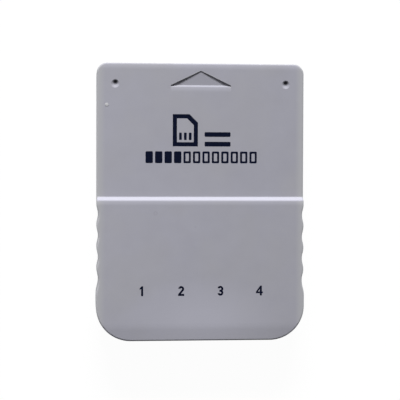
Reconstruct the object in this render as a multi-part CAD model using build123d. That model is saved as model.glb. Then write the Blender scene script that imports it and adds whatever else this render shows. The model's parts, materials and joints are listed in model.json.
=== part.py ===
from build123d import *
from math import cos, radians, sin, tan
import os

# A flat plug-in memory card, lying on its rear face, in millimetres.
# X runs across the card, Y towards the insertion end, Z up through the front face.
# The origin is the middle of the rear face.

# Outer form
tongue_length = 26.95           # from the insertion end to the foot of the step
grip_length = 29.15             # from the foot of the step to the palm end
card_width = 42.0               # across the straight sides
tongue_thickness = 7.0
step_height = 0.9               # the grip stands this far above the tongue
step_angle = 50.0
step_foot_radius = 0.2
step_head_radius = 0.4
roll_angle = 10.0               # the front rolls off by this before an edge turns down
roll_radius = 4.8
roll_flat = 0.05                # straight stretch between a roll and the turn beside it
palm_bevel_length = 2.95        # the front face falls away over the last stretch of the grip
palm_bevel_drop = 0.22
palm_bevel_radius = 16.0
end_corner_radius = 2.0
palm_corner_radius = 7.0
front_edge_radius = 0.35
rear_edge_chamfer = 0.4
seam_chamfer = 0.15             # breaks the rear shell's edge along the parting line

# Finger flutes down both sides of the grip
flute_count = 4
flute_depth = 0.32
flute_lead = 1.5                # from the foot of the step to the first crest
flute_runout = 3.2              # from the last valley to the widest part of the grip
palm_straight = 2.1             # straight side between the run-out and the palm corner
palm_bulge = 0.15               # the palm end is wider than the tongue by this much a side

# Walls
side_wall = 1.6
end_wall = 1.3
palm_wall = 1.6
front_skin = 1.4
rear_skin = 1.4
inner_corner_radius = 0.8

# Fits
fit_clearance = 0.1             # between moulded pieces that slide together
board_clearance = 0.2           # around the circuit board
board_gap = 0.1                 # over the circuit board, under the front shell's ribs

# Circuit board on its ledge
board_thickness = 1.2
board_standoff = 0.4
ledge_width = 1.2

# Snap fit between the shells
lip_thickness = 0.6
lip_height = 0.7
hook_height = 2.0
hook_width = 3.0
hook_barb = 0.3
hook_barb_height = 0.7
hook_setback = 0.2              # from the palm corner to the hook beside it
tongue_hook_offset = 8.0        # from the foot of the step to the other hook

# Corner pins that place the shells on each other
pin_diameter = 1.1
pin_inset_side = 3.7
pin_inset_end = 4.0
pin_height = 1.3                # above the parting line
pin_boss_width = 3.0

# Detents: two round dimples in the front face
detent_inset_side = 3.7
detent_inset_end = 4.18
detent_diameter = 1.65
detent_floor_diameter = 0.5
detent_depth = 0.28

# Pegs that place the circuit board at the palm end
peg_diameter = 2.0
peg_inset_side = 4.5
peg_inset_palm = 4.0
peg_boss_width = 4.0

# Contact mouth at the insertion end
contact_groups = (3, 3, 2)
well_depth = 8.5
divider_width = 1.6
bulkhead_width = 1.0
mouth_rib_width = 1.0
contact_gap = 1.35
contact_thickness = 0.1
contact_margin = 0.35           # bare board at both ends of a contact
contact_corner = 0.3

# Arrow recess
arrow_width = 12.2
arrow_height = 2.92
arrow_base_inset = 4.38         # from the insertion end to the arrow's base
arrow_tip_depth = 0.14
arrow_base_depth = 0.35
arrow_slope_angle = 38.0        # of the slope that leads out of the recess beyond its base
arrow_slope_radius = 0.2        # where the slope turns towards the face

# Storage chip
chip_length = 10.3
chip_width = 7.5
chip_body_height = 1.5
chip_standoff = 0.1
chip_edge_chamfer = 0.3
chip_gap = 1.5                  # from the row of resistors to the chip's leads
lead_count = 8
lead_width = 0.42
lead_thickness = 0.2
lead_reach = 1.4                # from the body's side to the toe
lead_foot = 0.7
lead_end_margin = 0.7

# Controller under its resin drop
blob_diameter = 6.0
blob_height = 0.8
blob_shoulder_diameter = 4.2
blob_shoulder_height = 0.55
blob_offset_x = 7.0
blob_offset_y = 7.0             # from the foot of the step towards the insertion end

# Page lamps, each under a thinned spot of the front skin
led_count = 4
led_pitch = 7.96
led_inset_palm = 10.15
led_length = 2.0
led_width = 1.25
led_base_height = 0.4
led_lens_height = 0.4
led_lens_margin = 0.35
led_lens_corner = 0.25
light_well_width = 3.0
light_skin = 0.6

# Small two-ended parts
resistor_length = 1.6
resistor_width = 0.8
resistor_height = 0.45
resistor_offset = 3.2           # from a lamp to its resistor
capacitor_count = 2
capacitor_length = 2.0
capacitor_width = 1.25
capacitor_height = 0.85
capacitor_pitch = 3.0
end_cap_length = 0.35
end_cap_proud = 0.04

# Ceramic resonator
resonator_length = 3.6
resonator_width = 1.6
resonator_height = 0.8
resonator_lid_height = 0.2
resonator_lid_margin = 0.2
resonator_gap = 2.5             # to the capacitor beside it

# Places worked out from the sizes above
card_length = tongue_length + grip_length
end_y = card_length / 2
palm_y = -card_length / 2
step_foot_y = palm_y + grip_length
half_width = card_width / 2
palm_half_width = half_width + palm_bulge
grip_thickness = tongue_thickness + step_height
board_bottom_z = rear_skin + board_standoff
parting_z = board_bottom_z + board_thickness
tongue_ceiling_z = tongue_thickness - front_skin
grip_ceiling_z = grip_thickness - front_skin
cavity_half_width = half_width - side_wall
cavity_end_y = end_y - end_wall
cavity_palm_y = palm_y + palm_wall
cavity_palm_radius = palm_corner_radius - side_wall
well_back_y = end_y - well_depth
pin_x = half_width - pin_inset_side
pin_y = end_y - pin_inset_end
detent_x = half_width - detent_inset_side
detent_y = end_y - detent_inset_end
mouth_half_width = pin_x - pin_boss_width / 2
peg_x = cavity_half_width - peg_inset_side
peg_y = cavity_palm_y + peg_inset_palm
led_y = palm_y + led_inset_palm
contact_count = sum(contact_groups)
divider_count = len(contact_groups) - 1
contact_cell = (2 * mouth_half_width - divider_count * divider_width) / contact_count

# A face belongs to the walls when the upward part of its normal is less than this
wall_limit = 0.3


def front_line(inset):
    """Corners of the front face in side view, from the insertion end to the palm end."""
    step_shift = inset * tan(radians(step_angle / 2))
    step_run = step_height / tan(radians(step_angle))
    return [
        (end_y, tongue_thickness - inset),
        (step_foot_y - step_shift, tongue_thickness - inset),
        (step_foot_y - step_run - step_shift, grip_thickness - inset),
        (palm_y + palm_bevel_length, grip_thickness - inset),
        (palm_y, grip_thickness - palm_bevel_drop - inset),
    ]


def tangent_length(radius, turn):
    """From a corner to where its rounding begins."""
    return radius * tan(radians(turn / 2))


def roll_off(turn_length):
    """Run and fall of a rolled stretch of the front, up to the edge whose own turn takes the given length."""
    length = tangent_length(roll_radius, roll_angle) + roll_flat + turn_length
    return length * cos(radians(roll_angle)), length * sin(radians(roll_angle))


def rolled_front():
    """The front face in side view, rolled off before it turns down at the insertion end and at the step."""
    _, foot, head, bevel, palm = front_line(0)
    end_run, end_fall = roll_off(front_edge_radius)
    head_run, head_fall = roll_off(tangent_length(step_head_radius, step_angle - roll_angle))
    shoulder_y = head[0] + head_fall / tan(radians(step_angle))
    return [
        (end_y, tongue_thickness - end_fall),
        (end_y - end_run, tongue_thickness),
        foot,
        (shoulder_y, grip_thickness - head_fall),
        (shoulder_y - head_run, grip_thickness),
        bevel,
        palm,
    ]


def card_profile():
    """Side view of the whole card."""
    radii = [roll_radius, step_foot_radius, step_head_radius, roll_radius, palm_bevel_radius]
    front = rolled_front()
    top = FilletPolyline(*front, radius=radii)
    rest = Polyline(front[-1], (palm_y, 0), (end_y, 0), front[0])
    return make_face(Curve() + top + rest)


def fluted_side():
    """Tangent arcs down the right side of the grip, from crest to valley and out to the palm's width."""
    first_crest_y = step_foot_y - flute_lead
    last_valley_y = palm_y + palm_corner_radius + palm_straight + flute_runout
    half_pitch = (first_crest_y - last_valley_y) / (2 * flute_count - 1)
    turns = []
    for number in range(2 * flute_count):
        depth = flute_depth if number % 2 else 0
        turns.append(Vector(half_width - depth, first_crest_y - number * half_pitch))
    turns.append(Vector(palm_half_width, last_valley_y - flute_runout))
    arcs = []
    for turn, next_turn in zip(turns, turns[1:]):
        middle = (turn + next_turn) / 2
        arcs.append(TangentArc(turn, middle, tangent=(0, -1)))
        arcs.append(TangentArc(middle, next_turn, tangent=arcs[-1] % 1))
    return arcs


def card_outline():
    """Plan view of the whole card."""
    flutes = fluted_side()
    end_corner = JernArc((half_width - end_corner_radius, end_y), (1, 0), end_corner_radius, -90)
    palm_corner = JernArc((palm_half_width, palm_y + palm_corner_radius), (0, -1), palm_corner_radius, -90)
    right_side = Curve() + [
        Line((0, end_y), end_corner @ 0),
        end_corner,
        Line(end_corner @ 1, flutes[0] @ 0),
        *flutes,
        Line(flutes[-1] @ 1, palm_corner @ 0),
        palm_corner,
        Line(palm_corner @ 1, (0, palm_y)),
    ]
    return make_face(right_side + mirror(right_side, about=Plane.YZ))


def card_body():
    """The closed outer form of both shells together."""
    body = extrude(card_outline(), grip_thickness, dir=(0, 0, 1))
    body &= extrude(Plane.YZ * card_profile(), palm_half_width, both=True)
    walls = body.faces().filter_by(lambda face: abs(face.normal_at().Z) < wall_limit)
    fronts = body.faces().filter_by(lambda face: face.normal_at().Z > wall_limit)
    body = fillet(walls.edges() & fronts.edges(), front_edge_radius)
    return chamfer(body.edges().group_by(Axis.Z)[0], rear_edge_chamfer)


def cavity_plan(grow=0.0):
    """Plan of the hollow inside the walls, grown outwards or, if negative, inwards."""
    low = cavity_palm_y - grow
    high = cavity_end_y + grow
    width = 2 * (cavity_half_width + grow)
    plan = Pos(0, (low + high) / 2) * Rectangle(width, high - low)
    corners = plan.vertices().group_by(Axis.Y)
    plan = fillet(corners[0], cavity_palm_radius + grow)
    return fillet(plan.vertices().group_by(Axis.Y)[-1], inner_corner_radius)


def at_height(z, sketch, height):
    """A sketch raised from one height by an amount."""
    return extrude(Pos(0, 0, z) * sketch, height)


def block(x_low, x_high, y_low, y_high, z_low, z_high):
    """A rectangular rib or cut between two corners."""
    size = (x_high - x_low, y_high - y_low, z_high - z_low)
    middle = ((x_high + x_low) / 2, (y_high + y_low) / 2, (z_high + z_low) / 2)
    return Pos(*middle) * Box(*size)


def post(x, y, z_low, z_high, diameter):
    """An upright round pin or bore."""
    return Pos(x, y, z_low) * extrude(Circle(diameter / 2), z_high - z_low)


def boss(x, y, z_low, z_high, width):
    """An upright square boss."""
    half = width / 2
    return block(x - half, x + half, y - half, y + half, z_low, z_high)


def both_sides(x):
    """The same place on the left and on the right."""
    return (-x, x)


def hook_profile():
    """Section of a snap hook on the right wall: an upright tab with an outward barb."""
    outer = cavity_half_width + lip_thickness
    top = parting_z + hook_height
    catch = top - hook_barb_height
    return Polygon(
        (cavity_half_width, parting_z),
        (outer, parting_z),
        (outer, catch),
        (outer + hook_barb, catch),
        (outer, top),
        (cavity_half_width, top),
        align=None,
    )


def hook_places():
    """Where the hooks stand along the card."""
    beside_palm_corner = palm_y + palm_corner_radius + hook_setback + hook_width / 2
    return (beside_palm_corner, step_foot_y + tongue_hook_offset)


def hooks(clearance):
    """All four hooks or, with a clearance, the pockets that take them."""
    section = hook_profile()
    if clearance:
        section = offset(section, clearance, kind=Kind.INTERSECTION)
    half = hook_width / 2 + clearance
    solids = []
    for y in hook_places():
        right = Pos(0, y, 0) * extrude(Plane.XZ * section, half, both=True)
        solids += [right, mirror(right, about=Plane.YZ)]
    return solids


def lip(clearance):
    """The rim of the rear shell that stands in the front shell or, with a clearance, its rebate."""
    ring = cavity_plan(lip_thickness + clearance) - cavity_plan()
    rim = at_height(parting_z, ring, lip_height + clearance)
    mouth_side = block(-card_width, card_width, well_back_y + clearance, card_length, 0, 2 * grip_thickness)
    return rim - mouth_side


def divider_places():
    """Middle of each divider between the groups of contacts."""
    places = []
    x = -mouth_half_width
    for group in contact_groups[:-1]:
        x += group * contact_cell + divider_width
        places.append(x - divider_width / 2)
    return places


def contact_places():
    """Middle of each contact, from left to right."""
    places = []
    x = -mouth_half_width
    for group in contact_groups:
        for place in range(group):
            places.append(x + (place + 0.5) * contact_cell)
        x += group * contact_cell + divider_width
    return places


def front_hollow():
    """The space inside the front shell, under the stepped ceiling."""
    plan = at_height(parting_z, cavity_plan(), grip_thickness)
    ceiling = front_line(front_skin)
    section = make_face(Polyline(*ceiling, (palm_y, 0), (end_y, 0), ceiling[0]))
    return plan & extrude(Plane.YZ * section, card_width, both=True)


def mouth_ribs():
    """The walls of the contact well: dividers, side ribs and the bulkhead behind them."""
    low = parting_z + board_gap
    high = tongue_ceiling_z + front_skin / 2
    rib_y = (well_back_y - bulkhead_width, cavity_end_y)
    outer = mouth_half_width + mouth_rib_width
    ribs = [block(-outer, outer, rib_y[0], well_back_y, low, high)]
    for x in divider_places():
        ribs.append(block(x - divider_width / 2, x + divider_width / 2, *rib_y, low, high))
    ribs.append(block(mouth_half_width, outer, *rib_y, low, high))
    ribs.append(block(-outer, -mouth_half_width, *rib_y, low, high))
    return ribs


def mouth_windows():
    """Openings in the end wall, one for each group of contacts."""
    edges = [-mouth_half_width]
    for x in divider_places():
        edges += [x - divider_width / 2, x + divider_width / 2]
    edges.append(mouth_half_width)
    windows = []
    for low, high in zip(edges[::2], edges[1::2]):
        windows.append(block(low, high, cavity_end_y - end_wall, end_y + end_wall, 0, tongue_ceiling_z))
    return windows


def arrow_recess():
    """A shallow arrow pointing at the insertion end, deepest at its base, where a slope leads out."""
    base_y = end_y - arrow_base_inset
    tip_y = base_y + arrow_height
    half = arrow_width / 2
    run, fall = roll_off(tangent_length(arrow_slope_radius, arrow_slope_angle - roll_angle))
    shoulder_y = base_y - (arrow_base_depth - fall) / tan(radians(arrow_slope_angle))
    lead_y = shoulder_y - 2 * run       # past the end of the roll, level with the face
    corners = [(-half, lead_y), (half, lead_y), (half, base_y), (0, tip_y), (-half, base_y)]
    slope_points = [
        (lead_y, tongue_thickness),
        (shoulder_y - run, tongue_thickness),
        (shoulder_y, tongue_thickness - fall),
        (base_y, tongue_thickness - arrow_base_depth),
    ]
    slope = FilletPolyline(*slope_points, radius=[roll_radius, arrow_slope_radius])
    tip = (tip_y, tongue_thickness - arrow_tip_depth)
    rest = Polyline(slope_points[-1], tip, (tip_y, grip_thickness), (lead_y, grip_thickness), slope_points[0])
    recess = extrude(Plane.YZ * make_face(Curve() + slope + rest), half, both=True)
    return recess & at_height(0, Polygon(*corners, align=None), grip_thickness)


def detents():
    """Round dimples near the corners of the insertion end."""
    dimple = Cone(detent_floor_diameter / 2, detent_diameter / 2, detent_depth)
    middle_z = tongue_thickness - detent_depth / 2
    return [Pos(x, detent_y, middle_z) * dimple for x in both_sides(detent_x)]


def pin_sockets():
    """Blind bores that take the corner pins."""
    top = parting_z + pin_height + fit_clearance
    return [post(x, pin_y, 0, top, pin_diameter + 2 * fit_clearance) for x in both_sides(pin_x)]


def led_places():
    """Middle of each page lamp, from left to right."""
    first = -led_pitch * (led_count - 1) / 2
    return [first + number * led_pitch for number in range(led_count)]


def front_shell(body):
    """The stepped, fluted front half with its ribs and bosses."""
    shell = split(body, Plane.XY.offset(parting_z), keep=Keep.TOP)
    shell -= front_hollow()
    shell += mouth_ribs()
    shell += [boss(x, pin_y, parting_z, tongue_ceiling_z, pin_boss_width) for x in both_sides(pin_x)]
    board_stop = parting_z + board_gap
    shell += [boss(x, peg_y, board_stop, grip_ceiling_z, peg_boss_width) for x in both_sides(peg_x)]
    shell -= lip(fit_clearance)
    shell -= hooks(fit_clearance)
    shell -= mouth_windows()
    shell -= arrow_recess()
    shell -= detents()
    shell -= pin_sockets()
    well_top = grip_thickness - light_skin
    well = at_height(parting_z, Rectangle(light_well_width, light_well_width), well_top - parting_z)
    shell -= [Pos(x, led_y, 0) * well for x in led_places()]
    return shell


def rear_shell(body):
    """The tray that closes the back and carries the board."""
    shell = split(body, Plane.XY.offset(parting_z), keep=Keep.BOTTOM)
    shell = chamfer(shell.edges().group_by(Axis.Z)[-1], seam_chamfer)
    shell -= at_height(rear_skin, cavity_plan(), grip_thickness)
    ledge = cavity_plan() - cavity_plan(-ledge_width)
    shell += at_height(rear_skin, ledge, board_standoff)
    shell += lip(0)
    shell += hooks(0)
    for x in both_sides(pin_x):
        shell += boss(x, pin_y, rear_skin, parting_z, pin_boss_width)
        shell += post(x, pin_y, parting_z, parting_z + pin_height, pin_diameter)
    for x in both_sides(peg_x):
        shell += boss(x, peg_y, rear_skin, board_bottom_z, peg_boss_width)
        shell += post(x, peg_y, board_bottom_z, parting_z, peg_diameter)
    return shell


def circuit_board():
    """The board, notched round the corner pins and drilled for the pegs."""
    plan = cavity_plan(-board_clearance)
    notch_inner = pin_x - pin_boss_width / 2 - board_clearance
    notch_low = pin_y - pin_boss_width / 2 - board_clearance
    notch = Pos((notch_inner + half_width) / 2, (notch_low + end_y) / 2)
    notch *= Rectangle(half_width - notch_inner, end_y - notch_low)
    plan -= [notch, mirror(notch, about=Plane.YZ)]
    peg_hole = Circle(peg_diameter / 2 + fit_clearance)
    plan -= [Pos(x, peg_y) * peg_hole for x in both_sides(peg_x)]
    return at_height(board_bottom_z, plan, board_thickness)


def clipped(width, length, corner):
    """A rectangle with its corners cut off."""
    plate = Rectangle(width, length)
    return chamfer(plate.vertices(), corner)


def contact(x):
    """One contact pad at the insertion end of the board."""
    front = cavity_end_y - board_clearance - contact_margin
    back = well_back_y + contact_margin
    pad = clipped(contact_cell - contact_gap, front - back, contact_corner)
    return at_height(parting_z, Pos(x, (front + back) / 2) * pad, contact_thickness)


def chip_lead():
    """Section of one bent lead: out of the body, down, and along the board."""
    side = chip_width / 2
    toe = side + lead_reach
    knee = toe - lead_foot
    shoulder = chip_standoff + chip_body_height / 2
    return Polygon(
        (side - lead_thickness, shoulder),
        (knee, shoulder),
        (knee, lead_thickness),
        (toe, lead_thickness),
        (toe, 0),
        (knee - lead_thickness, 0),
        (knee - lead_thickness, shoulder - lead_thickness),
        (side - lead_thickness, shoulder - lead_thickness),
        align=None,
    )


def flash_chip():
    """The storage chip with a row of bent leads along both long sides."""
    body = block(-chip_length / 2, chip_length / 2, -chip_width / 2, chip_width / 2, 0, chip_body_height)
    body = chamfer(body.faces().sort_by(Axis.Z)[-1].edges(), chip_edge_chamfer)
    chip = Pos(0, 0, chip_standoff) * body
    lead = extrude(Plane.YZ * chip_lead(), lead_width / 2, both=True)
    pitch = (chip_length - 2 * lead_end_margin) / (lead_count - 1)
    first = -pitch * (lead_count - 1) / 2
    row = [Pos(first + number * pitch, 0, 0) * lead for number in range(lead_count)]
    chip += row
    chip += [mirror(each, about=Plane.XZ) for each in row]
    resistor_row_end = led_y + resistor_offset + resistor_length / 2
    return Pos(0, resistor_row_end + chip_gap + chip_width / 2 + lead_reach, parting_z) * chip


def controller_blob():
    """A low drop of resin over the controller."""
    section = Polygon(
        (0, 0),
        (blob_diameter / 2, 0),
        (blob_shoulder_diameter / 2, blob_shoulder_height),
        (0, blob_height),
        align=None,
    )
    drop = revolve(Plane.XZ * section, Axis.Z)
    return Pos(-blob_offset_x, step_foot_y + blob_offset_y, parting_z) * drop


def page_led(x):
    """A surface lamp: a base with a narrower lens on it."""
    base = extrude(Rectangle(led_width, led_length), led_base_height)
    lens = clipped(led_width, led_length - 2 * led_lens_margin, led_lens_corner)
    lamp = base + at_height(led_base_height, lens, led_lens_height)
    return Pos(x, led_y, parting_z) * lamp


def two_ended(length, width, height):
    """A small ceramic body with a metal cap over each end, along Y."""
    body = block(-width / 2, width / 2, -length / 2, length / 2, 0, height)
    cap_width = width + 2 * end_cap_proud
    cap_height = height + end_cap_proud
    for low in (-length / 2, length / 2 - end_cap_length):
        body += block(-cap_width / 2, cap_width / 2, low, low + end_cap_length, 0, cap_height)
    return body


def led_resistor(x):
    """The resistor beside one page lamp."""
    body = two_ended(resistor_length, resistor_width, resistor_height)
    return Pos(x, led_y + resistor_offset, parting_z) * body


def supply_capacitor(number):
    """One of the capacitors beside the controller."""
    body = two_ended(capacitor_length, capacitor_width, capacitor_height)
    return Pos(blob_offset_x + number * capacitor_pitch, step_foot_y + blob_offset_y, parting_z) * body


def resonator():
    """The ceramic resonator between the controller and the capacitors."""
    base = extrude(Rectangle(resonator_width, resonator_length), resonator_height)
    margin = 2 * resonator_lid_margin
    lid = clipped(resonator_width - margin, resonator_length - margin, resonator_lid_margin)
    body = base + at_height(resonator_height, lid, resonator_lid_height)
    x = blob_offset_x - capacitor_width / 2 - resonator_gap - resonator_width / 2
    return Pos(x, step_foot_y + blob_offset_y, parting_z) * body


def numbered(name, places, make):
    """Repeated pieces as separate nodes, counted from left to right."""
    return {f"{name}_{number}": make(place) for number, place in enumerate(places, start=1)}


def main():
    body = card_body()
    nodes = {
        "front_shell": front_shell(body),
        "rear_shell": rear_shell(body),
        "circuit_board": circuit_board(),
        "flash_chip": flash_chip(),
        "controller_blob": controller_blob(),
        "resonator": resonator(),
    }
    nodes |= numbered("contact", contact_places(), contact)
    nodes |= numbered("page_led", led_places(), page_led)
    nodes |= numbered("led_resistor", led_places(), led_resistor)
    nodes |= numbered("supply_capacitor", range(capacitor_count), supply_capacitor)
    os.makedirs("parts", exist_ok=True)
    for name, solid in nodes.items():
        export_step(solid, f"parts/{name}.step")


main()
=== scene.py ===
import json
import math
import random

import bmesh
import bpy
from mathutils import Matrix, Vector
from mathutils.bvhtree import BVHTree


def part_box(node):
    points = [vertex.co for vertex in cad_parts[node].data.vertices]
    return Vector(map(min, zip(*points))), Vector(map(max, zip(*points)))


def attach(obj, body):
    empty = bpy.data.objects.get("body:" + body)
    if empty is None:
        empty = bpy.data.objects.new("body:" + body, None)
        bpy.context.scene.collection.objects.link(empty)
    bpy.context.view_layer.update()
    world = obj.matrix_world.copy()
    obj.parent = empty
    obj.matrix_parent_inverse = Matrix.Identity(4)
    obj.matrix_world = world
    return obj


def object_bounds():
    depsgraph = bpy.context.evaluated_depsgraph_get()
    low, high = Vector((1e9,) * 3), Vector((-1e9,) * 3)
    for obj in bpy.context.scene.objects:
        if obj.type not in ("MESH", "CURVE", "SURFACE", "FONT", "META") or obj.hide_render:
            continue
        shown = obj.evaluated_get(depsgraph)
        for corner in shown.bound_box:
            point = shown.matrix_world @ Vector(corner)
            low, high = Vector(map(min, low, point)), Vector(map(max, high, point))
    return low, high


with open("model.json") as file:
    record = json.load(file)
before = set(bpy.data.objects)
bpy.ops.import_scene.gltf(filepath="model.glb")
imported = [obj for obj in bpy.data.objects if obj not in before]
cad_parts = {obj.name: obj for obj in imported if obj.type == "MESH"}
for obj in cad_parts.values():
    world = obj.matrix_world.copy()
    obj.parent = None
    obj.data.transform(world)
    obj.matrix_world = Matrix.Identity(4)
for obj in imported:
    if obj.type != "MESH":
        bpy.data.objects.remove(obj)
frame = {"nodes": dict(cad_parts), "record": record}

cad_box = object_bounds()

# A console memory card lying on a white table, seen from straight above and a little to its left.
# Scene sizes are in metres, written as millimetres times mm. X runs across the card, Y to its insertion end.
mm = 0.001

# The photograph's view
camera_turn = math.radians(5.31)        # about the card's length
camera_tip = math.radians(1.63)         # about the card's width
camera_roll = math.radians(-0.175)
camera_distance = 267.8 * mm
camera_offset = (0.513 * mm, 0.264 * mm)
camera_lens = 115.87                    # for the camera's own 36 mm sensor

# Lamps: where they stand round the card, and how bright a white sheet facing them looks
key_distance = 1.4
key_azimuth = 92.0
key_elevation = 27.0
key_size = (0.63, 0.35)
key_level = 1.81
fill_distance = 0.15
fill_elevation = 9.0
fill_size = (0.1, 0.04)
fills = {"fill_left": (180.0, 0.26), "fill_right": (0.0, 0.12)}     # azimuth and level
room_level = 0.11
floor_size = 3.0
floor_drop = 0.05 * mm
floor_white = 0.55
floor_shadow_share = 0.04               # of the light on the floor that the camera sees
floor_glow = 0.968

# Colours
shell_colour = (0.342, 0.341, 0.392)
shell_aged = (0.349, 0.345, 0.365)      # where the plastic has yellowed a little
shell_pale = (0.4, 0.402, 0.418)      # where hands and the slot have rubbed it; on the sides and edges partly a painted highlight
painted_shade_colour = (0.012, 0.012, 0.016)           # painted shade in the two dimples
ink_colour = (0.0025, 0.004, 0.0125)
solder_green = (0.012, 0.11, 0.045)
copper_green = (0.03, 0.19, 0.07)
gold = (0.83, 0.6, 0.24)
gold_worn = (0.7, 0.52, 0.27)
tin = (0.62, 0.61, 0.58)
compound_black = (0.018, 0.018, 0.02)
resin_black = (0.008, 0.008, 0.01)
lens_clear = (0.8, 0.82, 0.77)
resistor_dark = (0.035, 0.035, 0.04)
ceramic_tan = (0.42, 0.3, 0.2)
white = (1, 1, 1, 1)

# Plastic of the shells: sizes in millimetres, and tones as shares of its colour
shell_gloss = 0.12
shell_roughness = (0.7, 0.82)
shell_grain = 0.22
shell_relief = (0.01, 0.25)             # depth and strength of a bump, here and below
cloud_size = 4.0
cloud_detail = 4.0
cloud_share = 0.5                       # of the mottling; the rest is painted light, lighter on the left and falling off to the right
cloud_tones = (0.945, 1.055)
painted_light_fall_reach = 18.0
aged_size = 11.0
aged_patches = (0.42, 0.68)             # of the noise: where the yellowing begins, and where it is full
aged_share = 0.35
stress_grain = 0.1
stress_tone = 1.25

# The other materials, likewise
fine_detail = 3.0
fine_relief = (0.01, 0.3)
ink_gloss = 0.03
ink_roughness = (0.85, 0.95)
ink_patch = 0.4
ink_thin_tone = 2.0
mask_gloss = 0.5
mask_roughness = (0.28, 0.4)
mask_tones = (0.85, 1.15)
weave_size = 0.5
weave_stretch = (1, 6, 1)
track_pitch = 6.0
track_edge = (0.03, 0.2)                # a track's width against the pitch, and the softness of its edge
track_relief = (0.03, 0.5)
gold_roughness = (0.38, 0.55)
score_size = 1.2
score_stretch = (12, 0.6, 12)
small_grain = 0.15
body_tones = (0.8, 1.2)
tin_tone = 0.85
chip_rough = 0.55
resistor_rough = 0.35
ceramic_rough = 0.45
rough_spread = 0.08
resin_coat = 0.4
resin_roughness = (0.12, 0.28)
ripple_size = 1.5
ripple_tone = 2.5
ripple_relief = (0.08, 0.5)
lens_roughness = (0.15, 0.3)
lens_scatter = (0.4, 0.3)               # share of the light, and how far it goes
haze_size = 0.4
haze_tone = 0.88

# Bare metal of the small parts, in millimetres from their ends
lead_reach = 1.35
end_cap = 0.35
lid_height = 0.2

# Faint marks in the front face: place in millimetres, radius of the ring, and width of its line
face_marks = (
    ((-9.2, -2.2), 0.32, 0.2),
    ((-1.1, -5.0), 0.0, 0.3),
)
mark_share = 0.35
mark_tone = 0.75
painted_shade_places = ((-17.25, 24.28), (17.3, 24.28))      # painted shade on the insertion side of the two dimples, the side in shade
painted_shade_reach = 0.62
painted_shade_strength = 1.7                     # 1 or more is solid painted shade

# Painted light that lifts the palm end, which faces away from the key lamp: its middle and how far it
# reaches, in millimetres
palm_light_place = (0.0, -24.0)
palm_light_reach = (17.0, 9.0)
palm_light_core = 0.2                        # share of the reach that is lit fully
palm_light_tone = 1.14

# Other rubbing, partly painted highlight, and the step's painted highlight, in millimetres
side_wear_and_highlight_band = (19.3, 20.4)                # where the rubbed and highlighted sides begin, and where they are palest
side_wear_and_highlight_share = 0.75
edge_width = 0.3
edge_samples = 6
edge_bend = (0.8, 0.97)                 # cosine of the bend at a full edge, and at none
edge_patch_size = 2.0
edge_patches = (0.6, 1.0)
step_highlight_middle = 0.72                      # of the step's slope along Y: the middle of its painted highlight
step_highlight_tone = 1.22
step_highlight_band = (0.35, 0.6)                 # where the painted highlight is palest, and where it ends
step_highlight_foot = (7.02, 7.12)                # where it begins above the tongue, and where it is palest

# Print on the front, in millimetres
ink_rise = 0.002
ink_sink = 0.03
weld_reach = 0.0001
arc_steps = 16
number_height = 2.0
number_stroke = 0.42
emblem_left = -5.7
emblem_foot = 11.3
emblem_size = (5.1, 6.5)
emblem_stroke = 0.85
emblem_cut = 1.7                        # the corner that is cut off
cut_angle = 45.0
emblem_bar = (0.55, 1.5)
emblem_bar_count = 3
line_left = 0.75
line_size = (5.3, 0.95)
line_pitch = 1.95
line_count = 2
block_left = -11.2
block_foot = 7.9
block_size = (1.5, 2.4)
block_pitch = 1.92
block_count = 12
blocks_full = 4
block_stroke = 0.42
print_corner = 0.25

# A raised speck in the moulding, in millimetres
speck_place = (-19.02, 19.71)
speck_radius = 0.42
speck_height = 0.09
speck_lean = 0.22                       # of its top towards the palm end
speck_rings = 5
speck_sides = 14
speck_wobble = (0.8, 1.2)               # of its radius
speck_seed = 7


def add(tree, kind, inputs=None, **settings):
    """A new shader node with some of its inputs and settings given."""
    node = tree.nodes.new(kind)
    for name, value in settings.items():
        setattr(node, name, value)
    for name, value in (inputs or {}).items():
        node.inputs[name].default_value = value
    return node


def principled(name, **inputs):
    """A new material, its node tree, its main shader and the object's own coordinates."""
    material = bpy.data.materials.new(name)
    material.use_nodes = True
    tree = material.node_tree
    shader = tree.nodes["Principled BSDF"]
    for label, value in inputs.items():
        shader.inputs[label.replace("_", " ")].default_value = value
    return material, tree, shader, add(tree, "ShaderNodeTexCoord").outputs["Object"]


def stretched(tree, place, scale):
    """Coordinates scaled differently along each axis."""
    mapping = add(tree, "ShaderNodeMapping", {"Scale": scale})
    tree.links.new(place, mapping.inputs["Vector"])
    return mapping.outputs["Vector"]


def noise(tree, place, size, detail=2.0):
    """Cloudy noise with blotches of about one size."""
    texture = add(tree, "ShaderNodeTexNoise", {"Scale": 1 / size, "Detail": detail})
    tree.links.new(place, texture.inputs["Vector"])
    return texture.outputs["Fac"]


def spread(tree, value, low, high, start=0.25, end=0.75):
    """A stretch of a value spread between two others."""
    limits = {"From Min": start, "From Max": end, "To Min": low, "To Max": high}
    ranged = add(tree, "ShaderNodeMapRange", limits)
    tree.links.new(value, ranged.inputs["Value"])
    return ranged.outputs["Result"]


def sums(tree, operation, first, second):
    """Arithmetic on a value and either another value or a number."""
    node = add(tree, "ShaderNodeMath", operation=operation)
    tree.links.new(first, node.inputs[0])
    if isinstance(second, (int, float)):
        node.inputs[1].default_value = second
    else:
        tree.links.new(second, node.inputs[1])
    return node.outputs[0]


def socket(sockets, identifier):
    """One of a node's sockets that share a name."""
    return next(each for each in sockets if each.identifier == identifier)


def tint(tree, value, first, second):
    """A colour between two, by a value from 0 to 1. Each is a colour or another node's output."""
    mix = add(tree, "ShaderNodeMix", data_type="RGBA")
    for colour, identifier in ((first, "A_Color"), (second, "B_Color")):
        if isinstance(colour, tuple):
            socket(mix.inputs, identifier).default_value = (*colour, 1)
        else:
            tree.links.new(colour, socket(mix.inputs, identifier))
    tree.links.new(value, socket(mix.inputs, "Factor_Float"))
    return socket(mix.outputs, "Result_Color")


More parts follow.
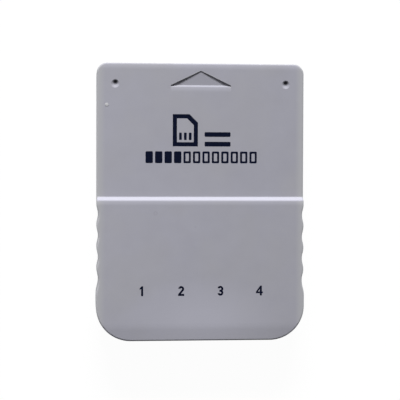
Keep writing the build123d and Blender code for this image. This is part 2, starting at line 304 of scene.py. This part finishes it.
def grain(tree, shader, value, relief):
    """A bump made by a noise, of a depth in millimetres and a strength."""
    depth, strength = relief
    bump = add(tree, "ShaderNodeBump", {"Strength": strength, "Distance": depth * mm})
    tree.links.new(value, bump.inputs["Height"])
    tree.links.new(bump.outputs["Normal"], shader.inputs["Normal"])


def scaled(colour, share):
    """A colour made lighter or darker."""
    return tuple(channel * share for channel in colour)


def face_height(x, y):
    """Height of the front face at a place in millimetres, in metres."""
    return front_faces.ray_cast(Vector((x * mm, y * mm, 1)), Vector((0, 0, -1)))[0].z


def edge_wear_and_highlight(tree, place):
    """Wear and painted highlight: up to 1 on the sharper edges, in patches, and 0 on flat faces and gentle
    bends.
    """
    rounded_normal = add(tree, "ShaderNodeBevel", {"Radius": edge_width * mm}, samples=edge_samples)
    geometry = add(tree, "ShaderNodeNewGeometry")
    dot = add(tree, "ShaderNodeVectorMath", operation="DOT_PRODUCT")
    tree.links.new(rounded_normal.outputs["Normal"], dot.inputs[0])
    tree.links.new(geometry.outputs["Normal"], dot.inputs[1])
    edges = spread(tree, dot.outputs["Value"], 1.0, 0.0, *edge_bend)
    patches = spread(tree, noise(tree, place, edge_patch_size * mm), *edge_patches)
    return sums(tree, "MULTIPLY", edges, patches)


def side_wear_and_highlight(tree, across):
    """Wear and painted highlight: rises towards the card's two long sides."""
    from_middle = sums(tree, "ABSOLUTE", across.outputs["X"], 0)
    return spread(tree, from_middle, 0.0, side_wear_and_highlight_share, side_wear_and_highlight_band[0] * mm, side_wear_and_highlight_band[1] * mm)


def step_painted_highlight(tree, across):
    """Painted highlight: 1 on the step's slope, fading out to both sides and towards its foot."""
    from_step = sums(tree, "SUBTRACT", across.outputs["Y"], step_highlight_middle * mm)
    from_step = sums(tree, "ABSOLUTE", from_step, 0)
    near = spread(tree, from_step, 1.0, 0.0, step_highlight_band[0] * mm, step_highlight_band[1] * mm)
    above = spread(tree, across.outputs["Z"], 0.0, 1.0, step_highlight_foot[0] * mm, step_highlight_foot[1] * mm)
    return sums(tree, "MULTIPLY", near, above)


def face_mark(tree, place, spot, radius, width):
    """1 along a small ring in the front face, fading out to both sides."""
    offset = add(tree, "ShaderNodeVectorMath", operation="DISTANCE")
    tree.links.new(place, offset.inputs[0])
    offset.inputs[1].default_value = (spot[0] * mm, spot[1] * mm, face_height(*spot))
    from_line = sums(tree, "SUBTRACT", offset.outputs["Value"], radius * mm)
    from_line = sums(tree, "ABSOLUTE", from_line, 0)
    return spread(tree, from_line, 1.0, 0.0, 0, width * mm)


def palm_painted_light(tree, place):
    """Painted light: 1 in the middle of the palm end, fading out all round."""
    scale = [1 / (reach * mm) for reach in palm_light_reach]
    shift = [-middle / reach for middle, reach in zip(palm_light_place, palm_light_reach)]
    spot = add(tree, "ShaderNodeMapping", {"Location": (*shift, 0), "Scale": (*scale, 0)})
    tree.links.new(place, spot.inputs["Vector"])
    away = add(tree, "ShaderNodeVectorMath", operation="LENGTH")
    tree.links.new(spot.outputs["Vector"], away.inputs[0])
    return spread(tree, away.outputs["Value"], 1.0, 0.0, palm_light_core, 1.0)


def marked(tree, place, colour):
    """A colour with the faint marks and the dimples' painted shade over it."""
    for spot, radius, width in face_marks:
        mark = sums(tree, "MULTIPLY", face_mark(tree, place, spot, radius, width), mark_share)
        colour = tint(tree, mark, colour, scaled(shell_colour, mark_tone))
    # Painted shade: darkens the shaded insertion side of each dimple
    for spot in painted_shade_places:
        painted_shade = sums(tree, "MULTIPLY", face_mark(tree, place, spot, 0.0, painted_shade_reach), painted_shade_strength)
        colour = tint(tree, painted_shade, colour, painted_shade_colour)
    return colour


def shell_plastic():
    """Cool grey moulded plastic: fine grain, faint clouding, a little yellowing and rubbing, with painted
    light on the left side, the palm end, the step and partly the sides and edges, and painted shade in the
    two dimples.
    """
    material, tree, shader, place = principled("shell_plastic", Specular_IOR_Level=shell_gloss)
    across = add(tree, "ShaderNodeSeparateXYZ")
    tree.links.new(place, across.inputs[0])
    clouds = spread(tree, noise(tree, place, cloud_size * mm, cloud_detail), 0.0, cloud_share)
    # Painted light: the face lighter on the left and darker on the right
    painted_light_fall = spread(tree, across.outputs["X"], 1 - cloud_share, 0.0, -painted_light_fall_reach * mm, painted_light_fall_reach * mm)
    mottle_and_light = sums(tree, "ADD", clouds, painted_light_fall)
    aged = spread(tree, noise(tree, place, aged_size * mm), 0.0, aged_share, *aged_patches)
    colour = tint(tree, mottle_and_light, *(scaled(shell_colour, tone) for tone in cloud_tones))
    colour = tint(tree, aged, colour, shell_aged)
    # Painted light: the palm end made lighter where it turns away from the key lamp
    colour = tint(tree, palm_painted_light(tree, place), colour, scaled(shell_colour, palm_light_tone))
    # Rubbing on the sides and edges, partly a painted highlight
    wear_and_highlight = sums(tree, "MAXIMUM", side_wear_and_highlight(tree, across), edge_wear_and_highlight(tree, place))
    colour = tint(tree, wear_and_highlight, colour, shell_pale)
    # Painted highlight on the step's slope, which faces the key lamp
    colour = tint(tree, step_painted_highlight(tree, across), colour, scaled(shell_colour, step_highlight_tone))
    tree.links.new(marked(tree, place, colour), shader.inputs["Base Color"])
    fine = noise(tree, place, shell_grain * mm, fine_detail)
    tree.links.new(spread(tree, fine, *shell_roughness), shader.inputs["Roughness"])
    grain(tree, shader, fine, shell_relief)
    return material


def stressed_plastic():
    """The paler plastic of a fault in the moulding."""
    material, tree, shader, place = principled("stressed_plastic", Specular_IOR_Level=shell_gloss)
    fine = noise(tree, place, stress_grain * mm, fine_detail)
    colour = tint(tree, fine, shell_pale, scaled(shell_pale, stress_tone))
    tree.links.new(colour, shader.inputs["Base Color"])
    tree.links.new(spread(tree, fine, *shell_roughness), shader.inputs["Roughness"])
    return material


def ink():
    """Dark blue pad print, a little thin in places."""
    material, tree, shader, place = principled("ink", Specular_IOR_Level=ink_gloss)
    thin = spread(tree, noise(tree, place, ink_patch * mm, fine_detail), 0.0, 1.0)
    colour = tint(tree, thin, ink_colour, scaled(ink_colour, ink_thin_tone))
    tree.links.new(colour, shader.inputs["Base Color"])
    tree.links.new(spread(tree, thin, *ink_roughness, 0.0, 1.0), shader.inputs["Roughness"])
    return material


def solder_mask():
    """Green lacquer over the board, paler where copper tracks run under it."""
    material, tree, shader, place = principled("solder_mask", Specular_IOR_Level=mask_gloss)
    width, softness = track_edge
    layout = {"Scale": 1 / (track_pitch * mm), "Mortar Size": width, "Mortar Smooth": softness}
    tracks = add(tree, "ShaderNodeTexBrick", layout)
    tree.links.new(place, tracks.inputs["Vector"])
    weave = noise(tree, stretched(tree, place, weave_stretch), weave_size * mm)
    lacquer = tint(tree, weave, *(scaled(solder_green, tone) for tone in mask_tones))
    colour = tint(tree, tracks.outputs["Fac"], lacquer, copper_green)
    tree.links.new(colour, shader.inputs["Base Color"])
    tree.links.new(spread(tree, weave, *mask_roughness), shader.inputs["Roughness"])
    grain(tree, shader, tracks.outputs["Fac"], track_relief)
    return material


def gold_plate():
    """Gold plating, scored lengthwise where it slides in the slot."""
    material, tree, shader, place = principled("gold_plate", Metallic=1.0)
    scores = noise(tree, stretched(tree, place, score_stretch), score_size * mm, fine_detail)
    tree.links.new(tint(tree, spread(tree, scores, 0, 1), gold, gold_worn), shader.inputs["Base Color"])
    tree.links.new(spread(tree, scores, *gold_roughness), shader.inputs["Roughness"])
    grain(tree, shader, scores, fine_relief)
    return material


def far_from_middle(tree, place, node, axis, reach):
    """1 where a point lies further than a reach from a node's middle along an axis, and 0 nearer."""
    low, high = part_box(node)
    index = "XYZ".index(axis)
    parts = add(tree, "ShaderNodeSeparateXYZ")
    tree.links.new(place, parts.inputs[0])
    offset = sums(tree, "SUBTRACT", parts.outputs[axis], (low[index] + high[index]) / 2)
    return sums(tree, "GREATER_THAN", sums(tree, "ABSOLUTE", offset, 0), reach)


def tinned(name, node, body_colour, axis, reach, body_rough):
    """A small part with a plain body and tinned metal beyond a reach from its middle."""
    material, tree, shader, place = principled(name)
    metal = far_from_middle(tree, place, node, axis, reach)
    fine = noise(tree, place, small_grain * mm, fine_detail)
    body = tint(tree, fine, *(scaled(body_colour, tone) for tone in body_tones))
    solder = tint(tree, fine, scaled(tin, tin_tone), tin)
    tree.links.new(tint(tree, metal, body, solder), shader.inputs["Base Color"])
    tree.links.new(metal, shader.inputs["Metallic"])
    roughness = spread(tree, fine, body_rough - rough_spread, body_rough + rough_spread)
    tree.links.new(roughness, shader.inputs["Roughness"])
    grain(tree, shader, fine, fine_relief)
    return material


def half_length(node, axis):
    """Half a node's length along an axis."""
    low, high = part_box(node)
    index = "XYZ".index(axis)
    return (high[index] - low[index]) / 2


def resin_drop():
    """Glossy black potting resin with slow ripples."""
    material, tree, shader, place = principled("resin_drop", Coat_Weight=resin_coat)
    ripple = noise(tree, place, ripple_size * mm)
    colour = tint(tree, ripple, resin_black, scaled(resin_black, ripple_tone))
    tree.links.new(colour, shader.inputs["Base Color"])
    tree.links.new(spread(tree, ripple, *resin_roughness), shader.inputs["Roughness"])
    grain(tree, shader, ripple, ripple_relief)
    return material


def lamp_resin():
    """Pale clear lamp body, a little cloudy."""
    share, depth = lens_scatter
    scatter = {"Subsurface_Weight": share, "Subsurface_Scale": depth * mm}
    material, tree, shader, place = principled("lamp_resin", **scatter)
    haze = noise(tree, place, haze_size * mm)
    colour = tint(tree, haze, scaled(lens_clear, haze_tone), lens_clear)
    tree.links.new(colour, shader.inputs["Base Color"])
    tree.links.new(spread(tree, haze, *lens_roughness), shader.inputs["Roughness"])
    return material


def dress_nodes():
    """Gives every CAD node its material."""
    chip_reach = half_length("flash_chip", "Y") - lead_reach * mm
    resistor_reach = half_length("led_resistor_1", "Y") - end_cap * mm
    capacitor_reach = half_length("supply_capacitor_1", "Y") - end_cap * mm
    lid_reach = half_length("resonator", "Z") - lid_height * mm
    capacitor = tinned("capacitor", "supply_capacitor_1", ceramic_tan, "Y", capacitor_reach, ceramic_rough)
    resistor = tinned("resistor", "led_resistor_1", resistor_dark, "Y", resistor_reach, resistor_rough)
    by_slot = {
        "shell_grey": shell_plastic(),
        "board_green": solder_mask(),
        "contact_gold": gold_plate(),
        "chip_black": tinned("chip", "flash_chip", compound_black, "Y", chip_reach, chip_rough),
        "resin_black": resin_drop(),
        "lamp_clear": lamp_resin(),
        "resistor_dark": resistor,
        "ceramic_tan": capacitor,
    }
    for part in frame["record"]["subparts"]:
        frame["nodes"][part["node"]].data.materials[0] = by_slot[part["material_slot"]]
    lid = tinned("resonator", "resonator", ceramic_tan, "Z", lid_reach, ceramic_rough)
    frame["nodes"]["resonator"].data.materials[0] = lid


def arc(centre, radius, start, end):
    """Points on an arc, from one angle to another in degrees."""
    points = []
    for step in range(arc_steps + 1):
        angle = math.radians(start + (end - start) * step / arc_steps)
        points.append((centre[0] + radius * math.cos(angle), centre[1] + radius * math.sin(angle)))
    return points


def digit_one():
    """A stem with a flag."""
    top = number_height / 2
    right = 0.28
    left = right - number_stroke
    shoulder = left + 0.08
    flag = -0.42
    flag_high = top - 0.42
    flag_low = top - 0.76
    armpit = top - 0.56
    return [[(right, -top), (right, top), (shoulder, top), (flag, flag_high), (flag, flag_low),
             (left, armpit), (left, -top)]]


def digit_two():
    """A bowl that runs down in a straight stroke to a flat base."""
    top = number_height / 2
    half = 0.62
    outer = 0.6
    inner = outer - number_stroke
    middle = (0, top - outer)
    begin = 170
    leave = -40
    base = number_stroke - top
    heel = base - 0.06
    bowl = arc(middle, outer, begin, leave)
    hollow = arc(middle, inner, leave, begin)
    slant = math.tan(math.radians(-leave))
    corner = (bowl[-1][0] - (bowl[-1][1] - base) * slant, base)
    return [bowl + [corner, (half, base), (half, -top), (-half, -top), (-half, heel)] + hollow]


def digit_three():
    """Two bowls, one over the other."""
    radius = (number_height - number_stroke) / 4
    outer = radius + number_stroke / 2
    inner = radius - number_stroke / 2
    notch = math.degrees(math.acos(math.sqrt(outer ** 2 - radius ** 2) / outer))
    begin = 165
    upper = (0, radius)
    lower = (0, -radius)
    stub_end = -0.2
    stub = [(stub_end, -number_stroke / 2), (stub_end, number_stroke / 2)]
    outside = arc(upper, outer, begin, -notch) + arc(lower, outer, notch, -begin)[1:]
    return [outside + arc(lower, inner, -begin, 90) + stub + arc(upper, inner, -90, begin)]


def digit_four():
    """A stem, a crossbar and a slanting stroke that close a triangle."""
    top = number_height / 2
    right = 0.52
    left = right - number_stroke
    bar_end = right + 0.2
    bar_low = -0.55
    bar_high = -0.2
    reach = -0.68
    tip = 0.18
    slope = (top - bar_high) / (tip - reach)
    eye = -0.27
    outside = [(right, -top), (right, bar_low), (bar_end, bar_low), (bar_end, bar_high),
               (right, bar_high), (right, top), (tip, top), (reach, bar_high), (reach, bar_low),
               (left, bar_low), (left, -top)]
    return [outside, [(left, bar_high), (left, bar_high + (left - eye) * slope), (eye, bar_high)]]


def rounded(x, y, size, radius):
    """A rectangle with round corners, from its lower left corner."""
    width, height = size
    right = x + width - radius
    high = y + height - radius
    return (arc((right, y + radius), radius, -90, 0) + arc((right, high), radius, 0, 90)
            + arc((x + radius, high), radius, 90, 180) + arc((x + radius, y + radius), radius, 180, 270))


def cut_card(inset):
    """Outline of a card pictogram with its upper right corner cut off."""
    width, height = emblem_size
    left = emblem_left + inset
    right = emblem_left + width - inset
    low = emblem_foot + inset
    high = emblem_foot + height - inset
    cut = emblem_cut - inset * math.tan(math.radians(cut_angle / 2))
    return [(left, low), (right, low), (right, high - cut), (right - cut, high), (left, high)]


def emblem():
    """A card pictogram: a ring with a cut corner and a row of contacts inside."""
    loops = [cut_card(0), cut_card(emblem_stroke)]
    width, height = emblem_bar
    room = emblem_size[0] - 2 * emblem_stroke
    gap = (room - emblem_bar_count * width) / (emblem_bar_count + 1)
    foot = emblem_foot + emblem_stroke + gap
    for number in range(emblem_bar_count):
        left = emblem_left + emblem_stroke + gap + number * (width + gap)
        loops.append(rounded(left, foot, (width, height), print_corner / 2))
    return loops


def text_lines():
    """Short plain bars beside the pictogram."""
    loops = []
    for number in range(line_count):
        loops.append(rounded(line_left, emblem_foot + number * line_pitch, line_size, print_corner))
    return loops


def block_row():
    """A gauge of blocks: the first ones full, the others empty."""
    loops = []
    width, height = block_size
    hollow = (width - 2 * block_stroke, height - 2 * block_stroke)
    for number in range(block_count):
        left = block_left + number * block_pitch
        loops.append(rounded(left, block_foot, block_size, print_corner))
        if number >= blocks_full:
            inside = (left + block_stroke, block_foot + block_stroke)
            loops.append(rounded(*inside, hollow, print_corner / 2))
    return loops


def printed(name, loops, place, material):
    """A thin flat shape on the front face. A loop that lies inside another is a hole or a separate field."""
    curve = bpy.data.curves.new(name, "CURVE")
    curve.dimensions = "2D"
    curve.fill_mode = "BOTH"
    curve.extrude = (ink_rise + ink_sink) / 2 * mm
    for loop in loops:
        spline = curve.splines.new("POLY")
        spline.points.add(len(loop) - 1)
        spline.use_cyclic_u = True
        for point, (x, y) in zip(spline.points, loop):
            point.co = (x * mm, y * mm, 0, 1)
    mesh = bpy.data.meshes.new_from_object(bpy.data.objects.new(name, curve))
    weld(mesh)
    mesh.materials.clear()
    mesh.materials.append(material)
    piece = bpy.data.objects.new(name, mesh)
    x, y, height = place
    piece.location = (x * mm, y * mm, height + (ink_rise - ink_sink) / 2 * mm)
    bpy.context.scene.collection.objects.link(piece)
    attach(piece, "root")


def weld(mesh):
    """Joins the points of a mesh that lie together, so that it is closed."""
    work = bmesh.new()
    work.from_mesh(mesh)
    bmesh.ops.remove_doubles(work, verts=work.verts, dist=weld_reach * mm)
    bmesh.ops.recalc_face_normals(work, faces=work.faces)
    work.to_mesh(mesh)
    work.free()


def page_numbers(material):
    """A plain number over each page lamp."""
    for number, shape in enumerate((digit_one, digit_two, digit_three, digit_four), start=1):
        low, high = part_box(f"page_led_{number}")
        x, y = ((low + high) / 2 / mm).xy
        printed(f"page_number_{number}", shape(), (x, y, face_height(x, y)), material)


def front_print(material):
    """The plain design on the tongue."""
    height = face_height(emblem_left, emblem_foot)
    for name, shape in (("print_emblem", emblem), ("print_lines", text_lines), ("print_blocks", block_row)):
        printed(name, shape(), (0, 0, height), material)


def speck(material):
    """A small raised fault in the moulding: an uneven low dome with its foot sunk in the face."""
    draw = random.Random(speck_seed)
    work = bmesh.new()
    wobble = [draw.uniform(*speck_wobble) for side in range(speck_sides)]
    rings = []
    for ring in range(speck_rings):
        rise = math.radians(90 * ring / speck_rings)
        points = []
        for side in range(speck_sides):
            turn = math.tau * side / speck_sides
            reach = speck_radius * wobble[side] * math.cos(rise)
            along = reach * math.sin(turn) - speck_lean * math.sin(rise)
            height = speck_height * math.sin(rise) - ink_sink
            points.append(work.verts.new((reach * math.cos(turn) * mm, along * mm, height * mm)))
        rings.append(points)
    for lower, upper in zip(rings, rings[1:]):
        for side in range(speck_sides):
            other = (side + 1) % speck_sides
            work.faces.new((lower[side], lower[other], upper[other], upper[side]))
    work.faces.new(rings[-1])
    work.faces.new(list(reversed(rings[0])))
    for face in work.faces:
        face.smooth = True
    mesh = bpy.data.meshes.new("moulding_speck")
    work.to_mesh(mesh)
    work.free()
    mesh.materials.append(material)
    piece = bpy.data.objects.new("moulding_speck", mesh)
    piece.location = (speck_place[0] * mm, speck_place[1] * mm, face_height(*speck_place))
    bpy.context.scene.collection.objects.link(piece)
    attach(piece, "root")


def camera():
    """The camera at the photograph's place."""
    turn = Matrix.Rotation(camera_turn, 3, "Y")
    tip = Matrix.Rotation(camera_tip, 3, "X")
    roll = Matrix.Rotation(camera_roll, 3, "Z")
    to_world = (roll @ tip @ turn).transposed()
    lens = bpy.data.cameras.new("camera")
    lens.lens = camera_lens
    eye = bpy.data.objects.new("camera", lens)
    place = to_world @ Vector((*camera_offset, camera_distance))
    eye.matrix_world = Matrix.Translation(place) @ to_world.to_4x4()
    bpy.context.scene.collection.objects.link(eye)
    bpy.context.scene.camera = eye


def lamp(name, azimuth, elevation, distance, size, level):
    """A soft rectangular lamp that faces the card."""
    data = bpy.data.lights.new(name, "AREA")
    data.shape = "RECTANGLE"
    data.size, data.size_y = size
    data.energy = level * math.pi ** 2 * distance ** 2
    turn = math.radians(azimuth)
    rise = math.radians(elevation)
    towards = Vector((math.cos(turn) * math.cos(rise), math.sin(turn) * math.cos(rise), math.sin(rise)))
    item = bpy.data.objects.new(name, data)
    facing = towards.to_track_quat("Z", "Y").to_matrix().to_4x4()
    item.matrix_world = Matrix.Translation(towards * distance) @ facing
    item.visible_camera = False
    bpy.context.scene.collection.objects.link(item)


def lamps():
    """A key lamp beyond the insertion end, and a low fill close by on each side."""
    lamp("key", key_azimuth, key_elevation, key_distance, key_size, key_level)
    for name, (azimuth, level) in fills.items():
        lamp(name, azimuth, fill_elevation, fill_distance, fill_size, level)


def seen_directly(tree):
    """1 for the rays that show the background itself: from the camera, a mirror or glass."""
    path = add(tree, "ShaderNodeLightPath")
    seen = path.outputs["Is Camera Ray"]
    for name in ("Is Glossy Ray", "Is Transmission Ray"):
        seen = sums(tree, "MAXIMUM", seen, path.outputs[name])
    return seen


def room():
    """Even white light from all round."""
    world = bpy.data.worlds.new("room")
    world.use_nodes = True
    bpy.context.scene.world = world
    tree = world.node_tree
    light = tree.nodes["Background"]
    light.inputs["Color"].default_value = white
    light.inputs["Strength"].default_value = room_level
    backdrop = add(tree, "ShaderNodeBackground", {"Color": white, "Strength": 1.0})
    mix = add(tree, "ShaderNodeMixShader")
    tree.links.new(seen_directly(tree), mix.inputs["Fac"])
    tree.links.new(light.outputs[0], mix.inputs[1])
    tree.links.new(backdrop.outputs[0], mix.inputs[2])
    tree.links.new(mix.outputs[0], tree.nodes["World Output"].inputs["Surface"])


def floor_material():
    """White paper that the camera sees as pure white, with a faint shadow."""
    material = bpy.data.materials.new("floor_white")
    material.use_nodes = True
    tree = material.node_tree
    tree.nodes.remove(tree.nodes["Principled BSDF"])
    paper = add(tree, "ShaderNodeBsdfDiffuse", {"Color": (floor_white, floor_white, floor_white, 1)})
    shadow_white = (floor_shadow_share, floor_shadow_share, floor_shadow_share, 1)
    shadow = add(tree, "ShaderNodeBsdfDiffuse", {"Color": shadow_white})
    glow = add(tree, "ShaderNodeEmission", {"Color": white, "Strength": floor_glow})
    shown = add(tree, "ShaderNodeAddShader")
    tree.links.new(shadow.outputs[0], shown.inputs[0])
    tree.links.new(glow.outputs[0], shown.inputs[1])
    mix = add(tree, "ShaderNodeMixShader")
    tree.links.new(seen_directly(tree), mix.inputs["Fac"])
    tree.links.new(paper.outputs[0], mix.inputs[1])
    tree.links.new(shown.outputs[0], mix.inputs[2])
    tree.links.new(mix.outputs[0], tree.nodes["Material Output"].inputs["Surface"])
    return material


def floor():
    """The white table under the card."""
    mesh = bpy.data.meshes.new("floor")
    half = floor_size / 2
    corners = [(-half, -half, 0), (half, -half, 0), (half, half, 0), (-half, half, 0)]
    mesh.from_pydata(corners, [], [(0, 1, 2, 3)])
    mesh.materials.append(floor_material())
    table = bpy.data.objects.new("floor", mesh)
    table.location.z = cad_box[0].z - floor_drop
    bpy.context.scene.collection.objects.link(table)


bpy.context.scene.view_settings.view_transform = "Standard"
front_faces = BVHTree.FromObject(frame["nodes"]["front_shell"], bpy.context.evaluated_depsgraph_get())
camera()
lamps()
room()
floor()
dress_nodes()
print_ink = ink()
page_numbers(print_ink)
front_print(print_ink)
speck(stressed_plastic())
